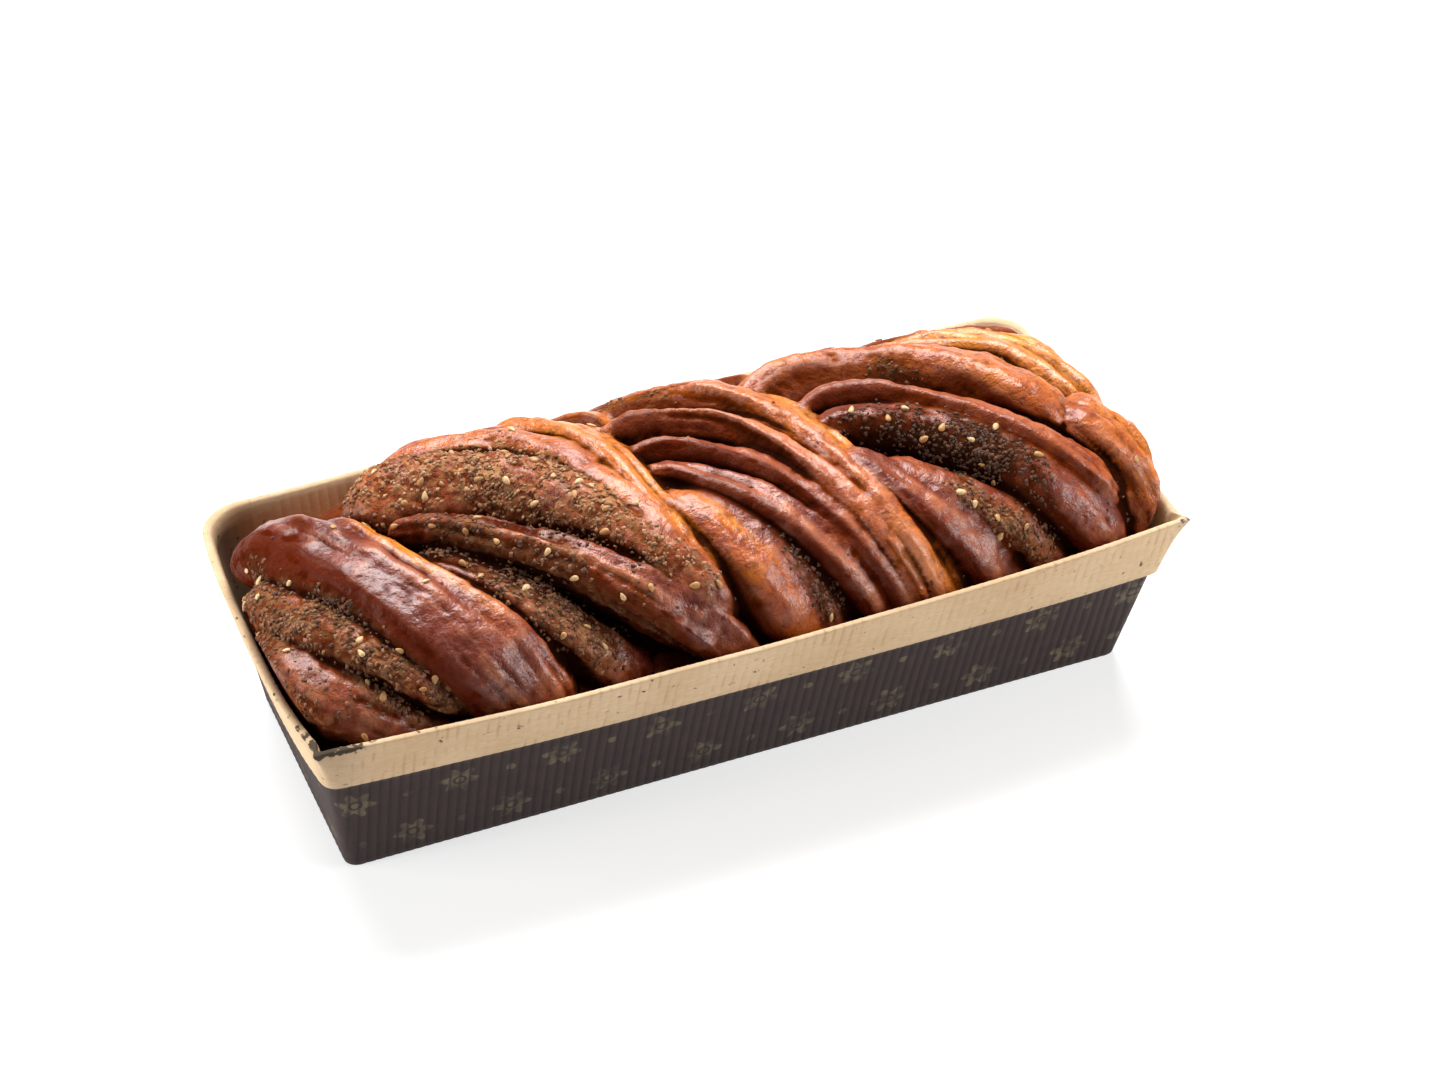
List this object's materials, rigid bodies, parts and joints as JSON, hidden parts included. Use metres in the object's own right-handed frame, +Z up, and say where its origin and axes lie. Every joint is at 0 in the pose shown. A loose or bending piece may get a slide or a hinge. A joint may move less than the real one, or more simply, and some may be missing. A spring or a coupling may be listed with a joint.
{
  "type": "babka",
  "caption": "Braided babka loaf with a glazed crust and sesame seeds, in a flared corrugated paper loaf case with a turned-down rim.",
  "frame": {"origin": "middle of the paper case's flat underside", "axes": "+X along the loaf, +Y across it from its front side to its back side, +Z up"},
  "size_m": [0.2413, 0.1105, 0.0815],
  "materials": {
    "crust": "egg-washed bread crust, glossy on the ridges, with dark herbs and sesame seeds",
    "paper": "thin corrugated kraft paper, printed dark brown outside, plain kraft inside and on the rim"
  },
  "bodies": {
    "root": {"babka": "crust", "paper_case": "paper"}
  },
  "joints": []
}
